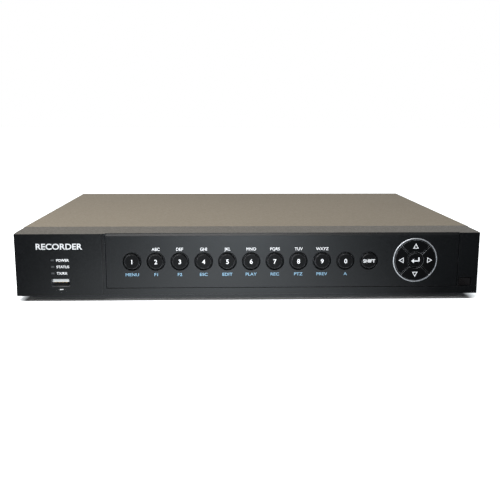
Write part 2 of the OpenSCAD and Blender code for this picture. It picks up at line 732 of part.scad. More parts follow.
module vga_insulator() color([0.1, 0.2, 0.6]) difference() {
  slab_y(panel_in - 5, 10.2) translate([vga_x, vga_z]) dee(15.6, 7.1);
  for (row = [-1, 0, 1], i = [-2:2])
    bar_y(vga_x + i * 2.3 + row * 0.6, vga_z + row * 2, panel_y + 1, panel_y + 6, 0.5);
}

module hdmi_outline(w, h) polygon([[-w / 2 + 1.6, -h / 2], [w / 2 - 1.6, -h / 2], [w / 2, -h / 2 + 1.6],
  [w / 2, h / 2], [-w / 2, h / 2], [-w / 2, -h / 2 + 1.6]]);
module hdmi_socket() color(steel) {
  slab_y(panel_in - 10, 12) translate([hdmi_x, hdmi_z]) difference() {
    hdmi_outline(hdmi_size[0], hdmi_size[1]);
    hdmi_outline(hdmi_size[0] - 0.8, hdmi_size[1] - 0.8);
  }
  slab_y(panel_in - 10, 2) translate([hdmi_x, hdmi_z]) hdmi_outline(hdmi_size[0] - 0.4, hdmi_size[1] - 0.4);
  block([hdmi_x - 5.8, panel_in - 9, hdmi_z - 0.1], [hdmi_x + 5.8, panel_y + 0.4, hdmi_z + 0.8]);
}

module usb_rear_socket() color(steel) {
  slab_y(panel_in - 13, 14.6) translate([usb_x, usb_z]) port_tube(port_w, port_h, port_shell);
  slab_y(panel_in - 13, 2) translate([usb_x, usb_z]) rounded(port_w - 0.3, port_h - 0.3, 0.5);
  tongue_top = usb_z + port_h / 2 - port_shell - tongue_gap;
  block([usb_x - tongue_w / 2, panel_in - 12, tongue_top - tongue_t],
    [usb_x + tongue_w / 2, panel_y, tongue_top]);
}

module network_socket() color([0.75, 0.76, 0.78]) difference() {
  block([net_x - net_size[0] / 2, panel_y + 0.5 - net_size[1], net_z - net_size[2] / 2],
    [net_x + net_size[0] / 2, panel_y + 0.5, net_z + net_size[2] / 2]);
  block([net_x - net_hole[0] / 2, panel_y + 0.5 - net_hole[1], net_z - net_hole[2] / 2 + 0.6],
    [net_x + net_hole[0] / 2, panel_y + 1, net_z + net_hole[2] / 2 + 0.6]);
  block([net_x - 3, panel_y + 0.5 - net_hole[1], net_z - net_hole[2] / 2 - 1.2],
    [net_x + 3, panel_y + 1, net_z]);
}

module alarm_terminal() color([0.1, 0.45, 0.2]) difference() {
  block([term_x - term_size[0] / 2, panel_y + 6 - term_size[1], term_z - term_size[2] / 2],
    [term_x + term_size[0] / 2, panel_y + 6, term_z + term_size[2] / 2]);
  for (i = [-1.5:1.5]) {
    translate([term_x + i * term_pitch, panel_y, term_z]) block([-1.6, -1, -3.6], [1.6, 7, -0.4]);
    bar_y(term_x + i * term_pitch, term_z + 2.6, panel_y + 4, panel_y + 7, 1.5);
  }
}

module dc_jack() color(chip_black) {
  difference() {
    block([dc_x - 4.5, panel_in - 11, dc_z - 5.4], [dc_x + 4.5, panel_y + 1.4, dc_z + 5.4]);
    bar_y(dc_x, dc_z, panel_in - 9, panel_y + 2, 3.1);
  }
  bar_y(dc_x, dc_z, panel_in - 9.5, panel_y - 0.5, 1);
}

module power_switch() color(chip_black) difference() {
  union() {
    slab_y(panel_y, bezel_flange[2]) translate([switch_x, rocker_z])
      rounded(bezel_flange[0], bezel_flange[1], 1);
    slab_y(panel_in - 12, tray_t + 12 + eps) translate([switch_x, rocker_z])
      square(switch_body, center = true);
  }
  block([switch_x - rocker_open[0] / 2, rocker_y - 8.4, rocker_z - rocker_open[1] / 2],
    [switch_x + rocker_open[0] / 2, panel_y + bezel_flange[2] + 1, rocker_z + rocker_open[1] / 2]);
  bar_x(switch_x - 6, switch_x + 6, rocker_y, rocker_z, trunnion_r + run_gap);
}
// the rocker turns about a bar along X; it is drawn resting in its "off" position
module power_rocker() color([0.55, 0.05, 0.05]) translate([0, rocker_y, rocker_z])
  rotate([-rocker_tilt, 0, 0]) {
    slab_x(switch_x - rocker_w / 2, rocker_w) intersection() {
      circle(rocker_r);
      polygon([[-3, -rocker_r], [4.6, -rocker_r], [3.4, 0], [4.6, rocker_r], [-3, rocker_r]]);
    }
    bar_x(switch_x - 5.7, switch_x + 5.7, 0, 0, trunnion_r);
  }

// ---------- fan ----------
module fan_frame() color(chip_black) difference() {
  union() {
    difference() {
      slab_y(fan_y0, fan_t) translate([fan_x, fan_z]) square(fan_w, center = true);
      bar_y(fan_x, fan_z, fan_y0 - 1, fan_y0 + fan_t + 1, fan_hole_r);
    }
    bar_y(fan_x, fan_z, fan_y0, fan_y0 + 1.4, hub_r);
    bar_y(fan_x, fan_z, fan_y0, fan_y0 + 6, 2.6);
    for (a = [0, 120, 240]) translate([fan_x, 0, fan_z]) rotate([0, a, 0])
      block([0, fan_y0, -1], [fan_hole_r + 0.5, fan_y0 + 1.4, 1]);
  }
  bar_y(fan_x, fan_z, fan_y0 + 0.8, fan_y0 + 7, shaft_r + run_gap);
  for (x = [-1, 1], z = [-1, 1])
    bar_y(fan_x + x * fan_corner, fan_z + z * fan_corner, fan_y0 - 1, fan_y0 + fan_t + 1, screw_hole_r);
}
module fan_rotor() color([0.1, 0.1, 0.11]) {
  y0 = fan_y0 + 2;
  y1 = fan_y0 + fan_t - 0.6;
  difference() {
    union() {
      bar_y(fan_x, fan_z, y0, y1, hub_r);
      intersection() {
        bar_y(fan_x, fan_z, y0, y1, blade_r);
        for (i = [0:blades - 1]) translate([fan_x, (y0 + y1) / 2, fan_z]) rotate([0, i * 360 / blades, 0])
          translate([hub_r - 1, 0, 0]) rotate([blade_pitch, 0, 0])
            translate([0, -6, -0.45]) cube([blade_r, 12, 0.9]);
      }
    }
    bar_y(fan_x, fan_z, y0 - 1, y1 - 1.2, hub_r - 1.2);
  }
  bar_y(fan_x, fan_z, fan_y0 + 1.2, y1 - 1, shaft_r);
}

front_bezel();
keypad_plate();
key_1();
key_2();
key_3();
key_4();
key_5();
key_6();
key_7();
key_8();
key_9();
key_0();
key_shift();
nav_up();
nav_right();
nav_down();
nav_left();
enter_key();
nav_ring();
ir_window();
led_lenses();
usb_front_shell();
usb_front_tongue();
front_board();
key_switches();
status_leds();
ir_receiver();
case_screws();
top_cover();
base_tray();
rear_panel();
rubber_feet();
cover_screws();
main_board();
board_standoffs();
board_screws();
board_chips();
heat_sink();
capacitors();
coin_cell();
coin_cell_holder();
inner_cables();
disk_case();
disk_lid();
bnc_jacks();
bnc_insulators();
bnc_housings();
audio_jacks();
audio_insulators();
vga_socket();
vga_insulator();
hdmi_socket();
usb_rear_socket();
network_socket();
alarm_terminal();
dc_jack();
power_switch();
power_rocker();
fan_frame();
fan_rotor();
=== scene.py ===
"""Looks of the video recorder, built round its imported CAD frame. Metres, row frame."""
import json
import math

import bmesh
import bpy
from mathutils import Matrix, Vector


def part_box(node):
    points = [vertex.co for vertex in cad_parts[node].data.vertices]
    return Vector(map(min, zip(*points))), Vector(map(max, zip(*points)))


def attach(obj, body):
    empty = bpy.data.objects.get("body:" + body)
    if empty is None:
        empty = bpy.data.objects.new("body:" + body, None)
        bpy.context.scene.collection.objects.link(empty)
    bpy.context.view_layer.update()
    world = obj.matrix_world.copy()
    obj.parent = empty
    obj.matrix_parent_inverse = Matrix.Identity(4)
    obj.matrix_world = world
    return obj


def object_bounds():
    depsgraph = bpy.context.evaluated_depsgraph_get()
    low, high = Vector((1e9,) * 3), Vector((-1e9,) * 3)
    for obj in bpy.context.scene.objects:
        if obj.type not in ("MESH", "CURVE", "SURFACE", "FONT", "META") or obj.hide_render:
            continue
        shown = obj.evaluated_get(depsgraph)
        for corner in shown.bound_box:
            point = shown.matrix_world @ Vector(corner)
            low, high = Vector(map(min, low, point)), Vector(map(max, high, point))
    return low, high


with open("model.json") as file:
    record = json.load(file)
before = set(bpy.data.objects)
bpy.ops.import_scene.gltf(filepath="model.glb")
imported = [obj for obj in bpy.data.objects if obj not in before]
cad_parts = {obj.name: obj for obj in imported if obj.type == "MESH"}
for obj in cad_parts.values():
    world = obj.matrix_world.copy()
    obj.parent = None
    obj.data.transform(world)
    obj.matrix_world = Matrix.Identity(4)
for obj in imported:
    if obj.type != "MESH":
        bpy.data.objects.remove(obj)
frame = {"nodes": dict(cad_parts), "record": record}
cad_box = [list(corner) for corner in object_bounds()]
MM = 0.001
CASE = "recorder_case"
scene = bpy.context.scene


# ---------- places read from the frame ----------
def centre(node):
    low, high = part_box(node)
    return (low + high) / 2


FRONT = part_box("front_bezel")[0].y
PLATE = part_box("keypad_plate")[0].y
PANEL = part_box("rear_panel")[1].y
PAD = centre("nav_ring")
DIGITS = ["key_%d" % d for d in range(1, 10)] + ["key_0"]
ARROWS = ["nav_up", "nav_right", "nav_down", "nav_left"]


# ---------- shader building blocks ----------
# edge wear, and the painted highlight along the key caps' edges, begin and are full at these cosines of
# the angle between the rounded and the flat normal
WEAR_AND_HIGHLIGHT_COSINES = (0.99, 0.8)
WEAR_AND_HIGHLIGHT_GRAIN = 350.0
BEVEL_SAMPLES = 4


def map_range(tree, value, low, high, out_low, out_high):
    """Maps low ... high to out_low ... out_high, and holds the result at both ends."""
    node = tree.nodes.new("ShaderNodeMapRange")
    limits = {"From Min": low, "From Max": high, "To Min": out_low, "To Max": out_high}
    for socket, limit in limits.items():
        node.inputs[socket].default_value = limit
    tree.links.new(value, node.inputs["Value"])
    return node.outputs["Result"]


class Paint:
    """A Principled material and the few texture nodes that the recorder's surfaces share."""

    def __init__(self, name, base, roughness, metallic=0.0, specular=0.5, coat=0.0):
        self.material = bpy.data.materials.new(name)
        self.material.use_nodes = True
        self.tree = self.material.node_tree
        self.shader = self.tree.nodes["Principled BSDF"]
        self.base = (*base, 1.0)
        self.shader.inputs["Base Color"].default_value = self.base
        self.shader.inputs["Roughness"].default_value = roughness
        self.shader.inputs["Metallic"].default_value = metallic
        self.shader.inputs["Specular IOR Level"].default_value = specular
        self.shader.inputs["Coat Weight"].default_value = coat
        self.place = self.tree.nodes.new("ShaderNodeTexCoord").outputs["Object"]
        self.normal = None

    def link(self, a, b):
        self.tree.links.new(a, b)

    def noise(self, scale, detail=2.0, stretch=None):
        """Noise with features about 1/scale metres across, stretched along the axes by stretch."""
        node = self.tree.nodes.new("ShaderNodeTexNoise")
        node.inputs["Scale"].default_value = scale
        node.inputs["Detail"].default_value = detail
        source = self.place
        if stretch:
            mapping = self.tree.nodes.new("ShaderNodeMapping")
            mapping.inputs["Scale"].default_value = stretch
            self.link(source, mapping.inputs["Vector"])
            source = mapping.outputs["Vector"]
        self.link(source, node.inputs["Vector"])
        return node.outputs["Fac"]

    def cells(self, scale):
        node = self.tree.nodes.new("ShaderNodeTexVoronoi")
        node.inputs["Scale"].default_value = scale
        self.link(self.place, node.inputs["Vector"])
        return node.outputs["Distance"]

    def spread(self, value, low, high, out_low, out_high):
        return map_range(self.tree, value, low, high, out_low, out_high)

    def blend(self, factor, other):
        """Mixes another colour into the base colour."""
        node = self.tree.nodes.new("ShaderNodeMix")
        node.data_type = "RGBA"
        taken = self.shader.inputs["Base Color"]
        if taken.is_linked:
            self.link(taken.links[0].from_socket, node.inputs[6])
        else:
            node.inputs[6].default_value = self.base
        node.inputs[7].default_value = (*other, 1.0)
        self.link(factor, node.inputs[0])
        self.link(node.outputs[2], taken)

    def vary_roughness(self, value, low, high):
        self.link(self.spread(value, 0.3, 0.7, low, high), self.shader.inputs["Roughness"])

    def bump(self, height, depth):
        """A bump of depth metres, on top of the bumps that are already there."""
        node = self.tree.nodes.new("ShaderNodeBump")
        node.inputs["Strength"].default_value = 1.0
        node.inputs["Distance"].default_value = depth
        self.link(height, node.inputs["Height"])
        if self.normal:
            self.link(self.normal, node.inputs["Normal"])
        self.normal = node.outputs["Normal"]
        self.link(self.normal, self.shader.inputs["Normal"])

    def edge_wear(self, width, other, amount):
        """Rubbed edges, and on the key caps a painted highlight along the edges: where the rounded normal
        leaves the face's own normal, another colour shows.
        """
        rounded = self.tree.nodes.new("ShaderNodeBevel")
        rounded.inputs["Radius"].default_value = width
        rounded.samples = BEVEL_SAMPLES
        flat = self.tree.nodes.new("ShaderNodeNewGeometry")
        dot = self.tree.nodes.new("ShaderNodeVectorMath")
        dot.operation = "DOT_PRODUCT"
        self.link(rounded.outputs["Normal"], dot.inputs[0])
        self.link(flat.outputs["Normal"], dot.inputs[1])
        patchy = self.tree.nodes.new("ShaderNodeMath")
        patchy.operation = "MULTIPLY"
        self.link(self.spread(dot.outputs["Value"], *WEAR_AND_HIGHLIGHT_COSINES, 0.0, amount), patchy.inputs[0])
        self.link(self.spread(self.noise(WEAR_AND_HIGHLIGHT_GRAIN, 4.0), 0.35, 0.65, 0.2, 1.0), patchy.inputs[1])
        self.blend(patchy.outputs[0], other)


# ---------- materials ----------
def moulded(name, base, speck, roughness, specular, grain=1100.0, depth=0.00005):
    """Spark-eroded moulded plastic: fine grain in colour, gloss and height."""
    paint = Paint(name, base, roughness, specular=specular)
    fine = paint.noise(grain, 3.0)
    broad = paint.noise(45.0, 3.0)
    paint.blend(paint.spread(fine, 0.5, 0.75, 0.0, 0.8), speck)
    paint.blend(paint.spread(broad, 0.35, 0.75, 0.0, 0.25), speck)
    paint.vary_roughness(fine, roughness - 0.06, roughness + 0.08)
    paint.bump(fine, depth)
    return paint


def powder_coat():
    paint = Paint("cover_paint", (0.2, 0.172, 0.132), 0.58, specular=0.14)
    orange_peel = paint.noise(700.0, 3.0)
    fleck = paint.noise(1500.0, 1.0)
    paint.blend(paint.spread(fleck, 0.55, 0.75, 0.0, 0.5), (0.27, 0.24, 0.19))
    paint.blend(paint.spread(paint.noise(14.0, 4.0), 0.4, 0.8, 0.0, 0.18), (0.15, 0.13, 0.1))
    paint.vary_roughness(orange_peel, 0.48, 0.62)
    paint.bump(orange_peel, 0.00006)
    paint.edge_wear(0.0008, (0.38, 0.37, 0.32), 0.7)
    return paint.material


def bezel_plastic():
    paint = moulded("bezel_plastic", (0.0016, 0.002, 0.0026), (0.005, 0.0058, 0.007), 0.35, 0.34)
    paint.edge_wear(0.0006, (0.05, 0.05, 0.055), 0.5)
    return paint.material


def key_plastic():
    paint = moulded("key_plastic", (0.0016, 0.0016, 0.0018), (0.0035, 0.0035, 0.004), 0.42, 0.1,
                    1800.0, 0.00002)
    # painted highlight: the pale colour along the key caps' edges stands in for light catching their rims
    paint.edge_wear(0.0006, (0.36, 0.36, 0.38), 1.0)
    return paint.material


def sheet_metal(name, base, roughness, stretch=(1.0, 30.0, 30.0), metallic=1.0):
    """Rolled, plated or drawn metal: fine directional lines and cloudy stains."""
    paint = Paint(name, base, roughness, metallic=metallic)
    lines = paint.noise(160.0, 4.0, stretch)
    stains = paint.noise(60.0, 4.0)
    darker = tuple(channel * 0.72 for channel in base)
    paint.blend(paint.spread(stains, 0.35, 0.75, 0.0, 0.6), darker)
    paint.vary_roughness(lines, roughness - 0.08, roughness + 0.12)
    paint.bump(lines, 0.00002)
    return paint.material


def zinc():
    """Zinc-plated sheet with its faint crystal spangle."""
    paint = Paint("zinc_steel", (0.55, 0.56, 0.57), 0.4, metallic=1.0)
    spangle = paint.cells(220.0)
    paint.blend(paint.spread(spangle, 0.1, 0.7, 0.0, 0.5), (0.42, 0.43, 0.45))
    paint.vary_roughness(spangle, 0.34, 0.5)
    paint.bump(paint.noise(500.0, 2.0), 0.00002)
    return paint.material


def circuit_board():
    paint = Paint("board_green", (0.012, 0.12, 0.045), 0.3, coat=0.4)
    tracks = paint.noise(300.0, 0.0, (6.0, 1.0, 1.0))
    paint.blend(paint.spread(tracks, 0.5, 0.53, 0.0, 0.55), (0.03, 0.24, 0.09))
    paint.bump(tracks, 0.00003)
    return paint.material


def plain_plastic(name, base, roughness=0.4, coat=0.0):
    paint = Paint(name, base, roughness, coat=coat)
    paler = tuple(min(1.0, channel * 1.25 + 0.01) for channel in base)
    grain = paint.noise(1400.0, 2.0)
    paint.blend(paint.spread(grain, 0.5, 0.8, 0.0, 0.5), paler)
    paint.vary_roughness(paint.noise(90.0, 3.0), roughness - 0.06, roughness + 0.1)
    paint.bump(grain, 0.00002)
    return paint.material


def clear_lens():
    """Smoky unlit lens of a status light."""
    paint = Paint("lens_plastic", (0.1, 0.105, 0.11), 0.25)
    paint.shader.inputs["Transmission Weight"].default_value = 0.3
    paint.blend(paint.spread(paint.noise(900.0, 2.0), 0.4, 0.7, 0.0, 0.5), (0.16, 0.17, 0.17))
    paint.bump(paint.noise(1200.0, 2.0), 0.00002)
    return paint.material


def printed(name, base):
    """Screen-printed ink, with its slightly uneven cover."""
    paint = Paint(name, base, 0.55, specular=0.3)
    thin = tuple(channel * 0.75 for channel in base)
    paint.blend(paint.spread(paint.noise(1600.0, 3.0), 0.45, 0.8, 0.0, 0.6), thin)
    paint.bump(paint.noise(2500.0, 2.0), 0.00001)
    return paint.material


def foot_rubber():
    return moulded("foot_rubber", (0.012, 0.012, 0.012), (0.03, 0.03, 0.03), 0.8, 0.3, 900.0).material


MATERIALS = {
    "bezel_plastic": bezel_plastic(),
    "key_plastic": key_plastic(),
    "ring_metal": sheet_metal("ring_metal", (0.74, 0.75, 0.78), 0.4, (20.0, 20.0, 20.0), 0.8),
    "dark_window": plain_plastic("dark_window", (0.004, 0.003, 0.0035), 0.3),
    "lens_plastic": clear_lens(),
    "socket_steel": sheet_metal("socket_steel", (0.62, 0.62, 0.64), 0.3),
    "white_plastic": plain_plastic("white_plastic", (0.82, 0.82, 0.8)),
    "cover_paint": powder_coat(),
    "zinc_steel": zinc(),
    "foot_rubber": foot_rubber(),
    "screw_steel": sheet_metal("screw_steel", (0.6, 0.6, 0.62), 0.28, (8.0, 8.0, 8.0)),
    "board_green": circuit_board(),
    "board_black": plain_plastic("board_black", (0.006, 0.006, 0.007), 0.5),
    "black_plastic": plain_plastic("black_plastic", (0.014, 0.014, 0.016), 0.45),
    "standoff_brass": sheet_metal("standoff_brass", (0.72, 0.52, 0.22), 0.28),
    "sink_aluminium": sheet_metal("sink_aluminium", (0.5, 0.51, 0.53), 0.42),
    "capacitor_sleeve": plain_plastic("capacitor_sleeve", (0.02, 0.03, 0.1), 0.3, 0.3),
    "cell_steel": sheet_metal("cell_steel", (0.66, 0.67, 0.69), 0.26),
    "cable_plastic": plain_plastic("cable_plastic", (0.5, 0.5, 0.48)),
    "jack_nickel": sheet_metal("jack_nickel", (0.66, 0.65, 0.62), 0.2, (10.0, 1.0, 10.0)),
    "jack_brass": sheet_metal("jack_brass", (0.83, 0.62, 0.26), 0.22, (10.0, 1.0, 10.0)),
    "audio_red": plain_plastic("audio_red", (0.4, 0.015, 0.015), 0.35),
    "video_blue": plain_plastic("video_blue", (0.02, 0.06, 0.32), 0.4),
    "terminal_green": plain_plastic("terminal_green", (0.02, 0.2, 0.07), 0.38),
    "rocker_red": plain_plastic("rocker_red", (0.3, 0.012, 0.012), 0.24, 0.4),
    "led_yellow": plain_plastic("led_yellow", (0.7, 0.68, 0.4), 0.3),
}
INK_WHITE = printed("ink_white", (0.76, 0.77, 0.78))
INK_PAD = printed("ink_pad", (0.97, 0.97, 0.98))
INK_BLUE = printed("ink_blue", (0.25, 0.43, 0.58))

# rounded edges, in millimetres, of the CAD nodes whose edges the eye can see
EDGES = {
    "front_bezel": 0.35, "keypad_plate": 0.22, "top_cover": 0.2, "rear_panel": 0.1, "enter_key": 0.12,
    "ir_window": 0.15, "rubber_feet": 0.3, "power_switch": 0.3, "power_rocker": 0.4, "vga_socket": 0.15,
    "network_socket": 0.2, "alarm_terminal": 0.25, "dc_jack": 0.25, "bnc_jacks": 0.15,
    "audio_jacks": 0.15, "cover_screws": 0.15, "case_screws": 0.15, "fan_frame": 0.2, "fan_rotor": 0.12,
    "heat_sink": 0.15, "board_chips": 0.1, "bnc_housings": 0.3, "nav_ring": 0.06, "led_lenses": 0.1,
    "usb_front_tongue": 0.12,
}
EDGES.update({node: 0.18 for node in ARROWS})
EDGES.update({node: 0.1 for node in DIGITS + ["key_shift"]})
WELD_WITHIN = 0.002 * MM
FLAT_WITHIN = math.radians(0.5)
SHARP_FROM = math.radians(34)


def dress_node(node, obj):
    """Gives a CAD node its material, softened edges and smooth shading; its mesh stays as packed."""
    slot = next(s["material_slot"] for s in frame["record"]["subparts"] if s["node"] == node)
    obj.data.materials.clear()
    obj.data.materials.append(MATERIALS[slot])
    if node in EDGES:
        weld = obj.modifiers.new("weld", "WELD")
        weld.merge_threshold = WELD_WITHIN
        flat = obj.modifiers.new("flat", "DECIMATE")
        flat.decimate_type = "DISSOLVE"
        flat.angle_limit = FLAT_WITHIN
        soft = obj.modifiers.new("soft", "BEVEL")
        soft.width = EDGES[node] * MM
        soft.segments = 2
        soft.limit_method = "ANGLE"
        soft.angle_limit = SHARP_FROM
        soft.use_clamp_overlap = True
        even = obj.modifiers.new("even", "WEIGHTED_NORMAL")
        even.keep_sharp = False


for node_name, node_object in frame["nodes"].items():
    dress_node(node_name, node_object)


# ---------- small pieces ----------
def piece(name, mesh, material, body=CASE):
    """A small piece of its own, which rides on a body."""
    obj = bpy.data.objects.new(name, mesh)
    scene.collection.objects.link(obj)
    mesh.materials.clear()
    mesh.materials.append(material)
    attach(obj, body)


def upright(mesh, x, y, z, back=False):
    """Stands a flat mesh up at (x, y, z), facing the front, or the back of the recorder."""
    turn = Matrix.Rotation(math.pi, 4, "Z") if back else Matrix.Identity(4)
    mesh.transform(Matrix.Translation((x, y, z)) @ turn @ Matrix.Rotation(math.pi / 2, 4, "X"))


INK_THICK = 0.03 * MM
# height of a capital letter in the built-in typeface, as a share of its size
CAP_SHARE = 0.729


def filled(curve):
    """The mesh of a curve, which is used up."""
    holder = bpy.data.objects.new(curve.name, curve)
    scene.collection.objects.link(holder)
    mesh = bpy.data.meshes.new_from_object(holder.evaluated_get(bpy.context.evaluated_depsgraph_get()))
    bpy.data.objects.remove(holder)
    bpy.data.curves.remove(curve)
    return mesh


def lettering(name, words, at, style, material, body=CASE, back=False):
    """Printed letters round at. A style is a cap height, a widening and a boldness."""
    height, stretch, weight = style
    curve = bpy.data.curves.new(name + "_curve", "FONT")
    curve.body = words
    curve.size = height / CAP_SHARE
    curve.extrude = INK_THICK / 2
    curve.offset = weight
    curve.resolution_u = 4
    mesh = filled(curve)
    across = [vertex.co.x for vertex in mesh.vertices]
    to_middle = Matrix.Translation((-(max(across) + min(across)) / 2, -height / 2, 0))
    mesh.transform(Matrix.Scale(stretch, 4, (1, 0, 0)) @ to_middle)
    upright(mesh, *at, back)
    piece(name, mesh, material, body)


def outline(name, loops, at, material, body=CASE):
    """A printed sign: closed 2D loops in millimetres round its middle, inner loops being holes."""
    curve = bpy.data.curves.new(name + "_curve", "CURVE")
    curve.dimensions = "2D"
    curve.fill_mode = "BOTH"
    curve.extrude = INK_THICK / 2
    for loop in loops:
        spline = curve.splines.new("POLY")
        spline.points.add(len(loop) - 1)
        for point, (px, py) in zip(spline.points, loop):
            point.co = (px * MM, py * MM, 0, 1)
        spline.use_cyclic_u = True
    mesh = filled(curve)
    upright(mesh, *at)
    piece(name, mesh, material, body)


def bar(name, low, high, material, round_off):
    """A small bar between two corners in metres, its edges rounded by round_off millimetres."""
    mesh = bpy.data.meshes.new(name)
    form = bmesh.new()
    bmesh.ops.create_cube(form, size=1.0)
    low, high = Vector(low), Vector(high)
    size = high - low
    form.transform(Matrix.Translation((low + high) / 2) @ Matrix.Diagonal((*size, 1.0)))
    bmesh.ops.bevel(form, geom=form.edges[:], offset=round_off * MM, segments=2, affect="EDGES",
                    profile=0.5)
    form.to_mesh(mesh)
    form.free()
    piece(name, mesh, material)


# ---------- printing on the front ----------
LEGENDS = [("1", "", "MENU"), ("2", "ABC", "F1"), ("3", "DEF", "F2"), ("4", "GHI", "ESC"),
           ("5", "JKL", "EDIT"), ("6", "MNO", "PLAY"), ("7", "PQRS", "REC"), ("8", "TUV", "PTZ"),
           ("9", "WXYZ", "PREV"), ("0", "", "A")]
LETTERS_UP = 8.4 * MM
WORDS_DOWN = 8.8 * MM
# cap height in metres, widening, and boldness in metres
DIGIT_STYLE = (3.1 * MM, 1.0, 0.06 * MM)
LETTERS_STYLE = (2.1 * MM, 0.97, 0.02 * MM)
WORD_STYLE = (2.1 * MM, 1.15, 0.03 * MM)
SHIFT_STYLE = (2.3 * MM, 1.03, 0.07 * MM)
LIGHT_STYLE = (1.75 * MM, 1.0, 0.05 * MM)
MARK_STYLE = (4.0 * MM, 1.09, 0.12 * MM)
NUMBER_STYLE = (2.4 * MM, 1.0, 0.05 * MM)

for (digit, letters, word), node_name in zip(LEGENDS, DIGITS):
    spot = centre(node_name)
    cap_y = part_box(node_name)[0].y
    lettering("print_" + digit, digit, (spot.x, cap_y, spot.z), DIGIT_STYLE, INK_PAD,
              node_name)
    if letters:
        lettering("letters_" + digit, letters, (spot.x, PLATE, spot.z + LETTERS_UP), LETTERS_STYLE,
                  INK_PAD)
    lettering("word_" + digit, word, (spot.x, PLATE, spot.z - WORDS_DOWN), WORD_STYLE,
              INK_BLUE)
spot = centre("key_shift")
lettering("print_shift", "SHIFT", (spot.x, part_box("key_shift")[0].y, spot.z), SHIFT_STYLE, INK_PAD,
          "key_shift")

# arrows, in millimetres: a triangle with a smaller one cut out for each direction key, ARROW_OUT from the
# middle of the ring, and a bent one for the enter key
ARROW_OUT = 9.5
ARROW_RIM = [(-1.95, -1.5), (1.95, -1.5), (0, 2.0)]
ARROW_HOLE = [(-1.15, -1.05), (1.15, -1.05), (0, 1.05)]
ARROW_BENT = [(-2.8, -0.5), (-1.0, 1.1), (-1.0, -0.1), (1.9, -0.1), (1.9, 2.0), (2.8, 2.0), (2.8, -0.9),
              (-1.0, -0.9), (-1.0, -2.1)]
for i, node_name in enumerate(ARROWS):
    angle = math.radians(90 * i)
    turn = Matrix.Rotation(-angle, 2)
    loops = [[tuple(turn @ Vector(corner)) for corner in loop] for loop in (ARROW_RIM, ARROW_HOLE)]
    across, upwards = ARROW_OUT * MM * math.sin(angle), ARROW_OUT * MM * math.cos(angle)
    at = (PAD.x + across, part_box(node_name)[0].y, PAD.z + upwards)
    outline("arrow_" + node_name, loops, at, INK_PAD, node_name)
enter_at = (PAD.x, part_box("enter_key")[0].y, PAD.z)
outline("arrow_enter", [ARROW_BENT], enter_at, INK_PAD, "enter_key")

# the words beside the lights, with their widths in millimetres
LIGHT_WORDS = [("POWER", 8.2), ("STATUS", 8.3), ("TX/RX", 6.9)]
WORD_GAP = 2.6
LENS_HEIGHT = 1.2 * MM
lights = centre("led_lenses")
LIGHT_PITCH = (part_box("led_lenses")[1].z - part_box("led_lenses")[0].z - LENS_HEIGHT) / 2
for i, (word, width) in enumerate(LIGHT_WORDS):
    at = (lights.x + (WORD_GAP + width / 2) * MM, FRONT, lights.z + (1 - i) * LIGHT_PITCH)
    lettering("light_word_%d" % i, word, at, LIGHT_STYLE, INK_PAD)

MARK_UP = 36.6 * MM
PORT_SIGN_UP = 6.7 * MM
PORT_SIGN_ASIDE = 0.3 * MM
PLUG_SIGN = [[(-2.9, -0.4), (-1.0, -0.4), (-1.0, -1.0), (1.4, -1.0), (1.4, 1.0), (-1.0, 1.0), (-1.0, 0.4),
              (-2.9, 0.4)],
             [(1.4, -0.65), (2.9, -0.65), (2.9, 0.65), (1.4, 0.65)]]
port = centre("usb_front_shell")
lettering("word_mark", "RECORDER", (port.x, FRONT, MARK_UP), MARK_STYLE, INK_WHITE)
port_sign_at = (port.x + PORT_SIGN_ASIDE, FRONT, PORT_SIGN_UP)
outline("port_sign", PLUG_SIGN, port_sign_at, INK_PAD)

# ---------- contacts inside the sockets ----------
GOLD = MATERIALS["jack_brass"]
USB_CONTACTS, USB_PITCH, USB_WIDTH = 4, 2.4, 1.0
NETWORK_CONTACTS, NETWORK_PITCH, NETWORK_WIDTH = 8, 1.02, 0.4


def contacts(name, count, pitch, width, x, y_span, z_span, round_off=0.08):
    """A row of gold contacts along X, round x. Pitch, width and rounding are in millimetres."""
    for i in range(count):
        middle = x + (i - (count - 1) / 2) * pitch * MM
        bar("%s_%d" % (name, i), (middle - width / 2 * MM, y_span[0], z_span[0]),
            (middle + width / 2 * MM, y_span[1], z_span[1]), GOLD, round_off)


low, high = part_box("usb_front_tongue")
contacts("front_contact", USB_CONTACTS, USB_PITCH, USB_WIDTH, port.x,
         (low.y + 0.3 * MM, high.y - 2 * MM), (port.z + 0.05 * MM, port.z + 0.4 * MM))
low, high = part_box("usb_rear_socket")
rear_port = (low + high) / 2
contacts("rear_contact", USB_CONTACTS, USB_PITCH, USB_WIDTH, rear_port.x,
         (low.y + 4 * MM, PANEL - 0.8 * MM), (rear_port.z + 0.1 * MM, rear_port.z + 0.4 * MM))
low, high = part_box("network_socket")
net = (low + high) / 2
contacts("network_contact", NETWORK_CONTACTS, NETWORK_PITCH, NETWORK_WIDTH, net.x,
         (low.y + 6 * MM, high.y - 3 * MM), (net.z + 3.4 * MM, net.z + 4.0 * MM), 0.05)


TUBE_SIDES = 20


def tube(name, spot, tip, root_in, end_in, outer, inner):
    """A round gold contact in the jack at spot, along Y, with a hole in its end. Its root and its end lie
    this far in from the jack's tip, and outer and inner are its radii; all in metres."""
    y0, y1 = tip - root_in, tip - end_in
    profile = [(inner, y0), (outer * 0.8, y0), (outer, y0 + (y1 - y0) * 0.06), (outer, y1 - 0.2 * MM),
               (outer - 0.15 * MM, y1), (inner, y1)]
    count = len(profile)
    corners = []
    faces = []
    for side in range(TUBE_SIDES):
        angle = 2 * math.pi * side / TUBE_SIDES
        here, beyond = side * count, (side + 1) % TUBE_SIDES * count
        for i, (radius, y) in enumerate(profile):
            after = (i + 1) % count
            corners.append((spot.x + radius * math.cos(angle), y, spot.z + radius * math.sin(angle)))
            faces.append((here + i, here + after, beyond + after, beyond + i))
    mesh = bpy.data.meshes.new(name)
    mesh.from_pydata(corners, [], faces)
    piece(name, mesh, GOLD)


